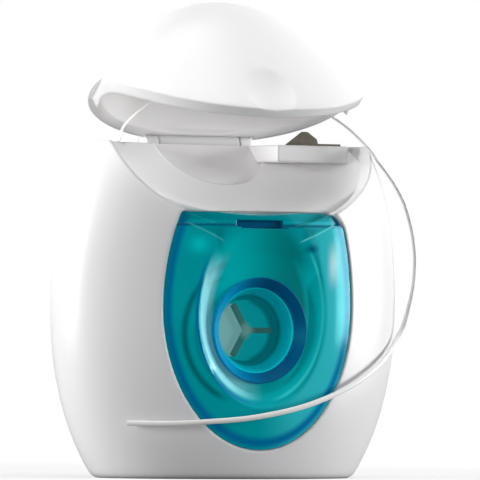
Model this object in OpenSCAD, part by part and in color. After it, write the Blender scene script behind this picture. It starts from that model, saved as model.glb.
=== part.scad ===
// Flip-top dental floss dispenser, front faces -Y, stands on z = 0, lid shown open

/* [Body] */
// Widest width of the barrel
body_w = 47; // [44:0.5:52]
// Greatest thickness, front to back
body_t = 20.8; // [19.5:0.1:23]
// Width of the flat base
base_w = 35; // [32:0.5:37]
// Height of the widest section
belly_z = 21; // [20:0.5:22]
// Height of the flat deck under the lid
deck_z = 41.1; // [40.4:0.1:42]
// Height over the closed lid
closed_h = 52; // [51:0.5:55]
// Exponent of the side outline, 2 is an ellipse
side_curve = 2.15; // [2:0.05:2.4]
// Exponent of the outline seen from the side
face_curve = 2.8; // [2.4:0.1:3]
// Exponent of the level sections, 2 is an ellipse
section_curve = 2; // [1.95:0.05:2.2]
// How far the section leans to the front at lean_h above the belly
top_lean = 1.4; // [0.8:0.1:1.6]
// Height over which the lean builds up
lean_h = 20; // [18:0.5:24]
// Wall thickness of the barrel
wall = 1.3; // [1:0.1:1.5]
// Thickness of the deck
deck_t = 1.5; // [1.2:0.1:1.8]
// Thickness of the base
floor_t = 1.4; // [1.2:0.1:2]
// Rounding of the base edge
base_round = 0.7; // [0.3:0.1:1]

/* [Scoop] */
// Half the width of the lip opening at the deck
lip_half = 18; // [17:0.1:18.5]
// How far the lip dips below its upper end
lip_drop = 11.2; // [10.5:0.1:11.5]
// Height of the lip's upper end above the deck
lip_rise = 0.7; // [0.5:0.1:1.2]
// Depth of the seat that the lip closes into
seat_depth = 1.7; // [1.6:0.1:1.9]
// Radius of the hollow curve of the scoop
scoop_r = 27; // [26:0.5:28]
// Forward place of the centre of the hollow curve
scoop_front = 16.74; // [16.5:0.01:17]
// Height of the centre of the hollow curve
scoop_z = 58.05; // [58:0.01:58.5]
// Distance ahead of the axis that the scoop turns round
scoop_turn = 30; // [28:0.5:34]
// Half the width of the finger pocket
pocket_half = 7.7; // [6.5:0.1:8]
// Place of the finger pocket's middle, to the left of the body's
pocket_left = 0.6; // [0:0.1:1]
// Height of the lowest point of the finger pocket
pocket_z = 36.4; // [36:0.1:37]
// Depth of the finger pocket below the scoop
pocket_depth = 1; // [0.6:0.1:1.2]

/* [Window] */
// Half the width of the window
window_half = 13.2; // [12.8:0.1:13.6]
// Height of the widest part of the window
window_z = 21; // [20.5:0.1:21.5]
// Height of the window's lower tip
window_low = 3.5; // [3.2:0.1:5]
// Height of the window's top edge
window_top = 32.7; // [32.4:0.1:32.8]
// Height above its widest part at which the window's sides would meet
window_reach = 21.5; // [20:0.5:24]
// Thickness of the window's wall
window_t = 1.2; // [1:0.1:1.3]
// Width of the flange behind the barrel's wall
flange_w = 1.2; // [0.8:0.1:1.4]
// Half the width of the dish in the window
dish_half = 8.7; // [8.2:0.1:9.2]
// Height of the dish's lower end
dish_low = 9.4; // [8.8:0.1:10]
// Height of the dish's top edge
dish_top = 28.8; // [28.4:0.1:29.2]
// Depth of the dish
dish_depth = 1.1; // [0.8:0.1:1.2]
// Width of the slope inside the dish's edge
dish_slope = 2; // [1:0.1:2.4]
// Half the width of the latch slot
slot_half = 3.2; // [2.5:0.1:4]
// Height of the latch slot
slot_h = 0.9; // [0.8:0.1:1]

/* [Spool] */
// Height of the spool's axis
spool_z = 18.2; // [17.8:0.1:18.6]
// Radius of the spool's flanges
flange_r = 9.4; // [9.2:0.1:9.6]
// Thickness of the spool's flanges
flange_t = 0.8; // [0.6:0.1:1]
// Radius of the spool's core
core_r = 6.4; // [6.2:0.1:6.8]
// Outer radius of the tube that the spool turns on
axle_r = 5.2; // [5:0.1:5.4]
// Inner radius of that tube
axle_bore = 4.1; // [3.9:0.1:4.2]
// Outer radius of the raised ring round the tube's mouth
ring_r = 6.5; // [6.2:0.1:6.9]
// Running clearance of the spool on its tube
spool_gap = 0.09; // [0.05:0.01:0.1]
// Front of the spool, ahead of the body's middle plane
spool_front = 6.4; // [6:0.1:6.5]
// Length of the spool
spool_len = 13.6; // [12.5:0.1:13.8]
// Thickness of the ribs of the post inside the tube
rib_t = 0.9; // [0.6:0.1:1.2]

/* [Floss] */
// Diameter of the floss tape, drawn round
floss_d = 0.7; // [0.6:0.01:0.75]
// Radius of the floss already wound under the outer layer
wound_r = 7.85; // [7.2:0.01:8]
// Spacing of the loops along the spool
loop_pitch = 1.2; // [1.18:0.01:1.25]

/* [Rear cover] */
// Half the width of the rear cover
cover_half = 15.4; // [15:0.1:15.8]
// Lower edge of the rear cover
cover_low = 3; // [2.8:0.1:3.6]
// Upper edge of the rear cover
cover_top = 36; // [35:0.1:36.5]
// Thickness of the rear cover's outer layer
cover_skin = 0.7; // [0.5:0.1:0.8]
// Width of the step that the cover rests on
cover_step = 1.1; // [0.9:0.1:1.4]
// Depth of the thumb grip moulded in the cover
grip_depth = 0.45; // [0.3:0.05:0.5]

/* [Lid] */
// Wall thickness of the lid
lid_t = 1.5; // [1.2:0.1:1.5]
// Gap between the lid and what it closes on
lid_gap = 0.12; // [0.1:0.01:0.15]
// Angle that the lid stands open
open_angle = 40; // [10:1:60]
// Distance of the hinge axis behind the middle plane
hinge_y = 7.9; // [7.8:0.1:8.2]
// Height of the hinge axis above the deck
hinge_rise = 0.2; // [0.1:0.1:0.5]
// Radius of the hinge barrel
barrel_r = 1.2; // [1.1:0.05:1.3]
// Half the length of the hinge barrel
barrel_half = 5.6; // [5:0.1:6.4]
// Radius of the hinge pins on the barrel
pin_r = 0.7; // [0.6:0.05:0.8]
// Width of the ears that hold the pins
ear_w = 1.6; // [1.4:0.1:2]
// Height of the latch rib inside the lip
latch_h = 0.5; // [0.4:0.05:0.55]

/* [Cutter] */
// Left edge of the cutter boss
boss_left = 6.1; // [5.5:0.1:6.6]
// Right edge of the cutter boss
boss_right = 16; // [15.5:0.1:16.4]
// Front of the boss, ahead of the middle plane
boss_front = 2.2; // [1.8:0.1:2.4]
// Height of the boss's front face
boss_h = 2.1; // [1.8:0.1:2.4]
// Thickness of the cutter's steel
steel_t = 0.25; // [0.2:0.01:0.4]
// Width of the cutter's base plate
plate_w = 5.8; // [5.2:0.1:6.4]
// Depth of the cutter's base plate
plate_d = 3.6; // [3:0.1:4]
// Width of the upright tooth
tooth_w = 4.6; // [3.6:0.1:5]
// Height of the upright tooth
tooth_h = 1.8; // [1.4:0.1:2]

/* [Hidden] */
$fn = 64;
fit = 0.12;
touch = 0.03;
past = 1;
reach = 40;
spread = 60;
fine = 96;
sides = 40;
edge_steps = 24;
skin_steps = 9;
dome_steps = 10;
dome_end = 88.5;
route_steps = 2;
corner_steps = 5;
half_w = body_w / 2;
half_t = body_t / 2;
upper_h = closed_h - belly_z;
lower_h = belly_z / pow(1 - pow(base_w / body_w, side_curve), 1 / side_curve);
lip_z = deck_z + lip_rise;
hinge_z = deck_z + hinge_rise;
ear_gap = 0.2;
ear_x = barrel_half + ear_gap;
ear_r = barrel_r;
ear_cap = 0.4;
pin_gap = 0.06;
pin_end = 0.5;
trough_gap = 0.35;
trough_r = barrel_r + trough_gap;
outlet_x = -14;
outlet_y = 2.2;
outlet_r = 0.9;
blank_low = 1;
scoop_back = 5;
scoop_above = 4;
boss_floor = deck_z - boss_h;
spool_back = spool_front - spool_len;
floss_r = floss_d / 2;
loop_rings = 24;
loop_sides = 6;
floss_sides = 8;
loop_r = (wound_r + floss_r + touch) / cos(180 / loop_rings);
winding_front = spool_front - flange_t - touch;
loops = floor((spool_len - 2 * flange_t - 2 * touch - floss_d) / loop_pitch);
latch_up = 0.55;
latch_z = lip_z - lip_drop + latch_up;
latch_bite = seat_depth - lid_t - touch;
latch_root = 0.4;
latch_gap = 0.3;
skirt = 3;
lid_low = lip_z - lip_drop - skirt;
slot_depth = 0.6;
slot_floor = front(0, latch_z, seat_depth + slot_depth);
pocket_front = 1.2;
pocket_run = 5.2;
window_back = 6.9;
window_inset = 0.15;
corner_right = [2.4, 2.5];
corner_left = [0.6, 0.7];
corner_power = 4 / 3;
dish_share = 0.55;
dish_corner = 0.72;
cover_stand = 0.3;
cover_t = wall + cover_stand;
cover_power = 0.8;
post_r = axle_bore - fit;
post_t = 1.2;
post_sink = 0.5;
rib_front = 5.7;
hook_x = 7;
hook_w = 3;
hook_t = 0.9;
hook_bite = 1.2;
grip_r = 14;
hub_root = 7.4;
hub_lap = 0.5;
tube_past = 0.2;
ring_stand = 0.15;
ring_edge = 0.15;
ring_front = front(0, spool_z, window_inset + dish_depth) + ring_stand;
funnel_depth = 1.15;
funnel_mid = ring_front - funnel_depth;
funnel_back = 5.9;
funnel_r = 5.2;
ear_drop = 2.4;
dent_z = 33.4;
dent_r = 6;
dent_depth = 0.5;
web_rise = 0.9;
web_step = 0.4;
web_sink = 0.2;
web_share = 0.9;
plate_edge = 0.9;
plate_set = 0.2;
plate_x = boss_right - plate_edge - plate_w / 2;
plate_y = -boss_front + plate_set;
tooth_form = [[0, 0], [0.02, 0.14], [0.49, 1], [0.65, 1], [0.94, 0.5], [1, 0]];
leg_w = 3;
leg_h = 1.2;
feed_route = [[-9.2, 1, 19], [-9.6, 1, 24], [-10.8, 1.4, 29], [-12.6, 1.9, 34], [-13.8, 2.2, 38],
    [-13.8, 2.2, 41.2]];
strand_route = [[-13.8, 2.2, 41.2], [-13.2, 1.8, 43.2], [-11.3, 0.5, 45.3], [-9.1, -1, 46.9],
    [-4.4, -2.6, 48], [3.1, -3.4, 48.2], [7.4, -3.8, 47.2], [10.7, -4, 45.7], [14.4, -4.5, 43.5],
    [17.2, -5, 41], [18.8, -5.1, 39.1]];
tail_route = [[18.8, -5.1, 39.1], [21.5, -4.5, 36.3], [23.4, -4.1, 33.3], [24.6, -4, 28.9],
    [24.6, -4, 24.4], [23.5, -4, 19.9], [21.9, -4.8, 17.4], [18.1, -7.4, 14.3], [13, -9.4, 11.6],
    [5.9, -10.7, 9.1], [-1.6, -10.9, 7.6], [-8.3, -10.1, 7], [-12.4, -9, 6.8], [-17.1, -6.9, 6.8]];

// Middle of the section at a height, which leans to the front above the belly
function lean(z) = z > belly_z ? -top_lean * pow((z - belly_z) / lean_h, 2) : 0;
function rise(z, inset) = abs(z - belly_z) / ((z > belly_z ? upper_h : lower_h) - inset);
function arch(u, curve) = pow(max(0, 1 - pow(u, curve)), 1 / curve);
function skin_w(z, inset) = (half_w - inset) * arch(rise(z, inset), side_curve);
function skin_t(z, inset) = (half_t - inset) * arch(rise(z, inset), face_curve);
// Half the thickness of the section at a place across it
function depth_at(x, z, inset) = skin_t(z, inset) * arch(min(1, abs(x) / skin_w(z, inset)), section_curve);
// Distance of the front skin ahead of the middle plane
function front(x, z, inset) = depth_at(x, z, inset) - lean(z);
function power(v, e) = sign(v) * pow(abs(v), e);
// Distance of the rear skin behind the middle plane
function back_skin(x, z, inset) = depth_at(x, z, inset) + lean(z);
// Level ring of points on the skin, drawn in by trim where an edge is rounded
function section(z, inset, trim = 0) = [
    for (i = [0:sides - 1])
        let (
            t = 360 * i / sides,
            e = 2 / section_curve,
            wide = skin_w(z, inset) - trim,
            deep = skin_t(z, inset) - trim
        )
            [wide * power(cos(t), e), lean(z) + deep * power(sin(t), e), z]
];

// Closed solid through level rings of equal count
module loft(rings) {
    count = len(rings);
    points = [for (ring = rings) each ring];
    walls = [
        for (k = [0:count - 2], i = [0:sides - 1])
            let (j = (i + 1) % sides, a = k * sides, b = a + sides)
                each [[a + i, b + i, b + j], [a + i, b + j, a + j]]
    ];
    bottom = [for (i = [0:sides - 1]) i];
    top = [for (i = [0:sides - 1]) (count - 1) * sides + sides - 1 - i];
    polyhedron(points, concat([bottom], walls, [top]));
}

// The barrel's skin set in by inset, between two heights
module barrel(low, high, inset) {
    loft([for (k = [0:skin_steps]) section(low + (high - low) * k / skin_steps, inset)]);
}

// Blank in the barrel's form, from which the covers are cut
module blank(inset) {
    barrel(blank_low, deck_z, inset);
}

// The space inside the barrel's form, drawn past both ends of the blank
module inside(inset) {
    barrel(blank_low - past / 2, deck_z + past, inset);
}

// The outer barrel with its rounded base edge
module outer_barrel(high) {
    edge = [for (a = [0, 30, 60]) section(base_round * (1 - cos(a)), 0, base_round * (1 - sin(a)))];
    rest = [for (k = [0:skin_steps]) section(base_round + (high - base_round) * k / skin_steps, 0)];
    loft(concat(edge, rest));
}

// The dome over the barrel, from a height up to its top
module dome(low, inset) {
    tall = upper_h - inset;
    start = asin((low - belly_z) / tall);
    loft([for (k = [0:dome_steps])
        section(belly_z + tall * sin(start + (dome_end - start) * k / dome_steps), inset)]);
}

// Level prism along Y over an outline drawn in X and Z
module along_y(from, to) {
    translate([0, to, 0])
        rotate([90, 0, 0])
            linear_extrude(to - from)
                children();
}

// Outline of the lip opening, wider by grow
module lip_outline(grow) {
    points = [for (i = [0:edge_steps]) let (t = 180 + 180 * i / edge_steps)
        [(lip_half + grow) * cos(t), lip_z + (lip_drop + grow) * sin(t)]];
    polygon(concat(points, [[lip_half + grow, spread], [-lip_half - grow, spread]]));
}

// Outline of the window, wider by grow
module window_outline(grow) {
    lower = [for (i = [0:edge_steps]) let (t = 180 + 180 * i / edge_steps)
        [(window_half + grow) * cos(t), window_z + (window_z - window_low + grow) * sin(t)]];
    right = window_side(corner_right, grow);
    left = window_side(corner_left, grow);
    polygon(concat(lower, right, [for (i = [len(left) - 1:-1:0]) [-left[i][0], left[i][1]]]));
}

// Upper side of the window with its soft corner, whose size is its run and its drop
function window_side(corner, grow) =
    let (
        high = asin((window_top - corner[1] - window_z) / window_reach),
        half = window_half + grow,
        edge = half * cos(high)
    )
        concat(
            [for (i = [1:corner_steps]) let (t = high * i / corner_steps)
                [half * cos(t), window_z + window_reach * sin(t)]],
            [for (i = [1:corner_steps]) let (t = 90 * i / corner_steps)
                [edge - corner[0] * (1 - pow(cos(t), corner_power)),
                    window_top - corner[1] + (corner[1] + grow) * pow(sin(t), corner_power)]]);

// Shield-shaped tool for the dish in the window, which widens to the front past its slope
module dish_cut() {
    middle = dish_low + (dish_top - dish_low) * dish_share;
    edge = front(dish_half, middle, window_inset);
    half = dish_half - dish_slope;
    drop = middle - dish_low - dish_slope;
    corner = dish_half * dish_corner - dish_slope;
    lower = [for (i = [0:edge_steps]) let (t = 180 + 180 * i / edge_steps) [half * cos(t), drop * sin(t)]];
    top = dish_top - middle - dish_slope;
    grown = 1 + 2 * dish_slope / half;
    translate([0, -edge + dish_depth, middle])
        rotate([90, 0, 0])
            linear_extrude(2 * dish_depth, scale = [grown, 1 + 2 * dish_slope / drop], slices = 1)
                polygon(concat(lower, [[corner, top], [-corner, top]]));
}

// Outline of the rear cover, a soft oval
module cover_outline(grow) {
    middle = (cover_low + cover_top) / 2;
    tall = (cover_top - cover_low) / 2 + grow;
    polygon([for (i = [0:2 * edge_steps - 1]) let (t = 180 * i / edge_steps)
        [(cover_half + grow) * power(cos(t), cover_power), middle + tall * power(sin(t), cover_power)]]);
}

// Hollow curve of the scoop, turned round a level-free axis ahead of the front
module scoop_bowl(grow) {
    translate([0, -scoop_turn, 0])
        rotate_extrude($fn = fine)
            intersection() {
                translate([scoop_turn - scoop_front, scoop_z])
                    circle(r = scoop_r + grow, $fn = fine);
                translate([0, scoop_z - scoop_r - grow])
                    square([spread, 2 * scoop_r]);
            }
}

// Everything cut from the barrel under the lip
module scoop(grow) {
    intersection() {
        along_y(-spread, scoop_back)
            lip_outline(grow);
        union() {
            scoop_bowl(grow);
            difference() {
                translate([-spread / 2, -reach, window_low])
                    cube([spread, reach, spread]);
                barrel(window_low - past, deck_z + scoop_above, seat_depth + grow);
            }
        }
    }
}

// The shallow pocket for a finger in the upper scoop
module finger_pocket(grow) {
    slope = atan2(deck_z - pocket_z, pocket_run);
    length = norm([deck_z - pocket_z, pocket_run]);
    bow = [for (i = [0:edge_steps]) let (t = 180 + 180 * i / edge_steps)
        [(pocket_half + grow) * cos(t), length + (length + grow) * sin(t)]];
    translate([-pocket_left, -pocket_front, pocket_z])
        rotate([slope, 0, 0])
            translate([0, 0, -pocket_depth - grow])
                linear_extrude(reach)
                    polygon(concat(bow, [for (side = [1, -1]) [side * (pocket_half + grow), 3 * length]]));
}

// Block of the barrel left standing under the cutter
module boss_block() {
    translate([boss_left, -boss_front, boss_floor])
        cube([boss_right - boss_left, spread, spread]);
}

// Rod along X at the hinge axis
module hinge_rod(radius, from, to) {
    translate([from, hinge_y, hinge_z])
        rotate([0, 90, 0])
            cylinder(r = radius, h = to - from);
}

// Moves a shape drawn up from z = 0 onto the spool's axis, facing the front
module on_spool(ahead) {
    translate([0, -ahead, spool_z])
        rotate([90, 0, 0])
            children();
}

// The hollow inside the barrel
module cavity() {
    difference() {
        barrel(floor_t, deck_z - deck_t, wall);
        scoop(wall);
        finger_pocket(wall);
        hinge_rod(trough_r + wall, -reach, reach);
    }
}

module body_shell() {
    color("whitesmoke")
        union() {
            difference() {
                outer_barrel(deck_z);
                cavity();
                difference() {
                    union() {
                        scoop(0);
                        finger_pocket(0);
                    }
                    boss_block();
                }
                along_y(-spread, -window_back)
                    window_outline(0);
                along_y(window_back, spread)
                    cover_outline(-cover_step);
                difference() {
                    along_y(window_back, spread)
                        cover_outline(0);
                    blank(cover_skin + touch);
                }
                translate([outlet_x, outlet_y, deck_z - deck_t - past])
                    cylinder(r = outlet_r, h = reach);
                hinge_rod(trough_r, -ear_x - ear_w - ear_gap, ear_x + ear_w + ear_gap);
                cutter_leg(fit, wall);
            }
            hinge_ears();
        }
}

// Two ears at the rear edge that hold the lid's pins
module hinge_ears() {
    for (side = [0, 1])
        mirror([side, 0, 0])
            difference() {
                union() {
                    hinge_rod(ear_r, ear_x, ear_x + ear_w);
                    translate([ear_x, hinge_y - ear_r, hinge_z - ear_drop])
                        cube([ear_w, 2 * ear_r, ear_drop]);
                }
                hinge_rod(pin_r + pin_gap, ear_x - past, ear_x + ear_w - ear_cap);
            }
}

module rear_cover() {
    color("white")
        union() {
            difference() {
                intersection() {
                    blank(0);
                    along_y(window_back, spread)
                        cover_outline(-fit);
                }
                inside(cover_skin);
                thumb_grip();
            }
            difference() {
                intersection() {
                    blank(cover_skin - grip_depth / 2);
                    along_y(window_back, spread)
                        cover_outline(-cover_step - fit);
                }
                inside(cover_t);
                thumb_grip();
            }
            rib_post();
            for (side = [-1, 1])
                snap_hook(side * hook_x);
        }
}

// Shallow round grip in the back of the cover
module thumb_grip() {
    translate([0, half_t - grip_depth + grip_r, spool_z])
        sphere(r = grip_r, $fn = fine);
}

// Three ribs that stand inside the spool's tube
module rib_post() {
    base = back_skin(0, spool_z, cover_t) - 2 * touch;
    on_spool(-base - post_sink)
        cylinder(r = post_r, h = post_t);
    for (turn = [0, 120, 240])
        on_spool(-base - post_sink)
            rotate([0, 0, turn])
                translate([0, -rib_t / 2, 0])
                    cube([post_r, rib_t, base + post_sink + rib_front]);
}

// Height of the rear cover's outline, grown by grow, at a place across it
function cover_edge(x, grow) =
    let (tall = (cover_top - cover_low) / 2)
        cover_low + tall + (tall + grow) * arch(abs(x) / (cover_half + grow), 2 / cover_power);

// Hook that snaps behind the barrel's wall above the rear opening
module snap_hook(x) {
    far = abs(x) + hook_w / 2;
    edge = cover_edge(far, -cover_step - fit);
    face = back_skin(far, edge + hook_bite, wall) - fit;
    seat = back_skin(abs(x) - hook_w / 2, edge, cover_t) + cover_skin / 2;
    translate([x - hook_w / 2, face - hook_t, edge - hook_t])
        cube([hook_w, hook_t, hook_t + hook_bite]);
    translate([x - hook_w / 2, face - hook_t, edge - hook_t])
        cube([hook_w, seat - face + hook_t, hook_t]);
}

module window() {
    color("darkcyan", 0.7)
        union() {
            difference() {
                union() {
                    intersection() {
                        blank(window_inset);
                        along_y(-spread, -window_back)
                            window_outline(-fit);
                    }
                    window_flange();
                }
                inside(window_inset + window_t + dish_depth);
                difference() {
                    dish_cut();
                    inside(window_inset + dish_depth);
                }
                scoop(0);
                latch_slot();
                on_spool(0)
                    cylinder(r = axle_r, h = reach);
            }
            hub();
        }
}

// Flange that lies behind the barrel's wall, round the window
module window_flange() {
    difference() {
        intersection() {
            blank(wall + touch);
            along_y(-spread, -window_back + flange_w)
                window_outline(flange_w);
        }
        along_y(-spread, 0)
            lip_outline(wall + touch);
    }
}

// Narrow slot in the window's upper ledge for the lid's latch rib
module latch_slot() {
    translate([-slot_half, -reach, latch_z - slot_h / 2])
        cube([2 * slot_half, reach - slot_floor, slot_h]);
}

// Raised ring with a funnel, and the tube behind it that carries the spool
module hub() {
    difference() {
        union() {
            on_spool(hub_root)
                cylinder(r = ring_r, h = ring_front - hub_root);
            on_spool(spool_back - tube_past)
                cylinder(r = axle_r, h = hub_root + hub_lap - spool_back + tube_past);
        }
        on_spool(spool_back - past)
            cylinder(r = axle_bore, h = reach);
        on_spool(funnel_back)
            cylinder(r1 = axle_bore, r2 = funnel_r, h = funnel_mid - funnel_back);
        on_spool(funnel_mid)
            cylinder(r1 = funnel_r, r2 = 2 * (ring_r - ring_edge) - funnel_r, h = 2 * funnel_depth);
    }
}

module spool() {
    bore = axle_r + spool_gap;
    color("lightcyan")
        on_spool(spool_back)
            rotate_extrude()
                polygon([[bore, 0], [flange_r, 0], [flange_r, flange_t], [core_r, flange_t],
                    [core_r, spool_len - flange_t], [flange_r, spool_len - flange_t], [flange_r, spool_len],
                    [bore, spool_len]]);
}

module floss_core() {
    color("ivory")
        on_spool(spool_back + flange_t + touch)
            rotate_extrude()
                translate([core_r + touch, 0])
                    square([wound_r - core_r - touch, spool_len - 2 * flange_t - 2 * touch]);
}

// Closed tube through rings of points
module tube(rings) {
    count = len(rings);
    n = len(rings[0]);
    walls = [
        for (k = [0:count - 2], i = [0:n - 1])
            let (j = (i + 1) % n, a = k * n, b = a + n)
                each [[a + i, b + i, b + j], [a + i, b + j, a + j]]
    ];
    last = (count - 1) * n;
    caps = [for (i = [1:n - 2]) each [[0, i, i + 1], [last, last + i + 1, last + i]]];
    polyhedron([for (ring = rings) each ring], concat(walls, caps));
}

function winding_point(k) =
    let (t = 360 * k / loop_rings, y = -winding_front + floss_r + loop_pitch * k / loop_rings)
        [loop_r * cos(t), y, spool_z + loop_r * sin(t)];
function winding_ring(k) =
    let (
        t = 360 * k / loop_rings,
        out = [cos(t), 0, sin(t)],
        run = unit([-loop_r * sin(t), loop_pitch / (2 * PI), loop_r * cos(t)]),
        side = cross(run, out)
    )
        [for (i = [0:loop_sides - 1])
            let (turn = 360 * i / loop_sides)
                winding_point(k) + floss_r * (cos(turn) * out + sin(turn) * side)];
winding_count = loops * loop_rings;
winding_gap = min([
    for (k = [0:winding_count - loop_rings], d = [-1:1])
        if (k + loop_rings + d <= winding_count)
            norm(winding_point(k + loop_rings + d) - winding_point(k)) - floss_d
]);

module floss_winding() {
    echo("least gap between the loops of the winding", winding_gap);
    color("ivory")
        tube([for (k = [0:winding_count]) winding_ring(k)]);
}

function unit(v) = v / norm(v);
// Point on a smooth curve through the points of a route
function between(p, k, t) =
    let (
        a = p[max(0, k - 1)],
        b = p[k],
        c = p[k + 1],
        d = p[min(len(p) - 1, k + 2)],
        square_term = 2 * a - 5 * b + 4 * c - d,
        cube_term = 3 * b - 3 * c + d - a
    )
        0.5 * (2 * b + (c - a) * t + square_term * pow(t, 2) + cube_term * pow(t, 3));
function smooth(p, steps) = concat(
    [for (k = [0:len(p) - 2], i = [0:steps - 1]) between(p, k, i / steps)], [p[len(p) - 1]]);
function route_length(p) = len(p) < 2 ? 0 : sum([for (i = [0:len(p) - 2]) norm(p[i + 1] - p[i])]);
function sum(v, i = 0) = i < len(v) ? v[i] + sum(v, i + 1) : 0;
function route_ring(p, i) =
    let (
        run = unit(p[min(len(p) - 1, i + 1)] - p[max(0, i - 1)]),
        side = unit(cross(run, [0, 1, 0])),
        up = cross(run, side)
    )
        [for (k = [0:floss_sides - 1])
            let (t = 360 * k / floss_sides) p[i] + floss_r * (cos(t) * side - sin(t) * up)];

// Floss along a route
module floss_along(route) {
    points = smooth(route, route_steps);
    tube([for (i = [0:len(points) - 1]) route_ring(points, i)]);
}

module floss_feed() {
    echo("length inside", route_length(smooth(feed_route, route_steps)));
    color("ivory")
        floss_along(feed_route);
}

module floss_strand() {
    echo("length over the deck", route_length(smooth(strand_route, route_steps)));
    color("ivory")
        floss_along(strand_route);
}

module floss_tail() {
    echo("length of the tail", route_length(smooth(tail_route, route_steps)));
    color("ivory")
        floss_along(tail_route);
}

// Upright leg of the cutter, or with a gap the slot that it stands in
module cutter_leg(gap, above) {
    translate([plate_x - leg_w / 2 - gap, plate_y + plate_d - steel_t - gap, deck_z - leg_h - gap])
        cube([leg_w + 2 * gap, steel_t + 2 * gap, leg_h + gap + above]);
}

module cutter() {
    color("dimgray")
        union() {
            translate([plate_x - plate_w / 2, plate_y, deck_z])
                cube([plate_w, plate_d, steel_t]);
            translate([plate_x - plate_w / 2, plate_y + plate_d, deck_z])
                rotate([90, 0, 0])
                    linear_extrude(steel_t)
                        polygon([for (p = tooth_form) [tooth_w * p[0], tooth_h * p[1]]]);
            cutter_leg(0, steel_t);
        }
}

// Lid in its closed place
module closed_lid() {
    rim = deck_z + lid_gap;
    union() {
        difference() {
            intersection() {
                dome(lid_low, 0);
                union() {
                    translate([-spread / 2, -spread / 2, rim])
                        cube([spread, spread, spread]);
                    along_y(-spread, 0)
                        lip_outline(-lid_gap);
                }
            }
            dome(lid_low - past, lid_t);
            hinge_rod(trough_r, -ear_x - ear_w - ear_gap, ear_x + ear_w + ear_gap);
            thumb_dent();
        }
        hinge_rod(barrel_r, -barrel_half, barrel_half);
        for (side = [0, 1])
            mirror([side, 0, 0])
                hinge_rod(pin_r, barrel_half - past, ear_x + ear_w - pin_end);
        hinge_web();
        latch_rib();
    }
}

// Web that joins the hinge barrel to the lid's rear wall
module hinge_web() {
    top = hinge_z + trough_r + web_rise;
    translate([barrel_half, 0, 0])
        rotate([90, 0, -90])
            linear_extrude(2 * barrel_half)
                polygon([[-hinge_y + barrel_r, hinge_z], [-hinge_y, hinge_z - barrel_r / 2],
                    [-hinge_y - barrel_r * web_share, hinge_z + web_step],
                    [-back_skin(0, top, 0) - web_sink, top], [-back_skin(0, top, lid_t) + web_sink, top]]);
}

// Shallow dent above the lip for a fingertip
module thumb_dent() {
    translate([0, -front(0, dent_z, 0) - dent_r + dent_depth, dent_z])
        sphere(r = dent_r, $fn = fine);
}

// Small rib inside the lip that snaps into the window's slot
module latch_rib() {
    translate([-slot_half + latch_gap, -front(0, latch_z, lid_t) - latch_root, latch_z - latch_h / 2])
        cube([2 * (slot_half - latch_gap), latch_root + latch_bite, latch_h]);
}

module lid() {
    color("white")
        translate([0, hinge_y, hinge_z])
            rotate([-open_angle, 0, 0])
                translate([0, -hinge_y, -hinge_z])
                    closed_lid();
}

body_shell();
rear_cover();
window();
spool();
floss_core();
floss_winding();
floss_feed();
floss_strand();
floss_tail();
cutter();
lid();
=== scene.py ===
# Flip-top floss dispenser with its lid open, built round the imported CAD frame; sizes are in mm
import bpy
import math
from mathutils import Matrix, Quaternion, Vector


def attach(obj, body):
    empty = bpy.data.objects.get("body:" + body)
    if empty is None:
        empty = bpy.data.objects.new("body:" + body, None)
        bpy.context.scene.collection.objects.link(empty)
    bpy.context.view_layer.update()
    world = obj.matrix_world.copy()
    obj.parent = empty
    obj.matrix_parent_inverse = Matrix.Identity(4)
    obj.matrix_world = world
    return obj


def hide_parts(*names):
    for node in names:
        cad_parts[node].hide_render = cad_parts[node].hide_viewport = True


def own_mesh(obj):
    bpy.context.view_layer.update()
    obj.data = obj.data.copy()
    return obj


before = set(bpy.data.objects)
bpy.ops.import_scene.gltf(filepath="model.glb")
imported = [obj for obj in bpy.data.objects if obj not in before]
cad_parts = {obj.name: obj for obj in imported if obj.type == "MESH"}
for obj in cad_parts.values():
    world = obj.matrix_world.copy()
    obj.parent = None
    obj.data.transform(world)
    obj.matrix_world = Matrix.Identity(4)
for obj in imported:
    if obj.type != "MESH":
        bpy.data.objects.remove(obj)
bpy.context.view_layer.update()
mm = 0.001
print("frame loaded")

# camera
view = {"turn": 28.8, "distance": 900, "eyeHeight": 18.2, "pixelsPerMm": 8.12, "roll": 0.6,
        "imageSize": 480, "axisPixel": (224, 330), "sensor": 36}


def placeCamera():
    turn = math.radians(view["turn"])
    roll = math.radians(view["roll"])
    focal = view["pixelsPerMm"] * view["distance"]
    across = view["imageSize"] / 2 - view["axisPixel"][0]
    down = view["imageSize"] / 2 - view["axisPixel"][1]
    right = (across * math.cos(roll) + down * math.sin(roll)) / focal
    up = (across * math.sin(roll) - down * math.cos(roll)) / focal
    ahead = Vector((math.sin(turn), math.cos(turn), 0))
    aim = ahead + right * Vector((math.cos(turn), -math.sin(turn), 0)) + up * Vector((0, 0, 1))
    camera = bpy.data.objects.new("camera", bpy.data.cameras.new("camera"))
    bpy.context.scene.collection.objects.link(camera)
    camera.data.sensor_width = view["sensor"]
    camera.data.lens = view["sensor"] * focal / view["imageSize"]
    camera.location = -ahead * view["distance"] * mm + Vector((0, 0, view["eyeHeight"] * mm))
    camera.rotation_mode = "QUATERNION"
    camera.rotation_quaternion = aim.to_track_quat("-Z", "Y") @ Quaternion((0, 0, 1), roll)
    bpy.context.scene.camera = camera


placeCamera()


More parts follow.
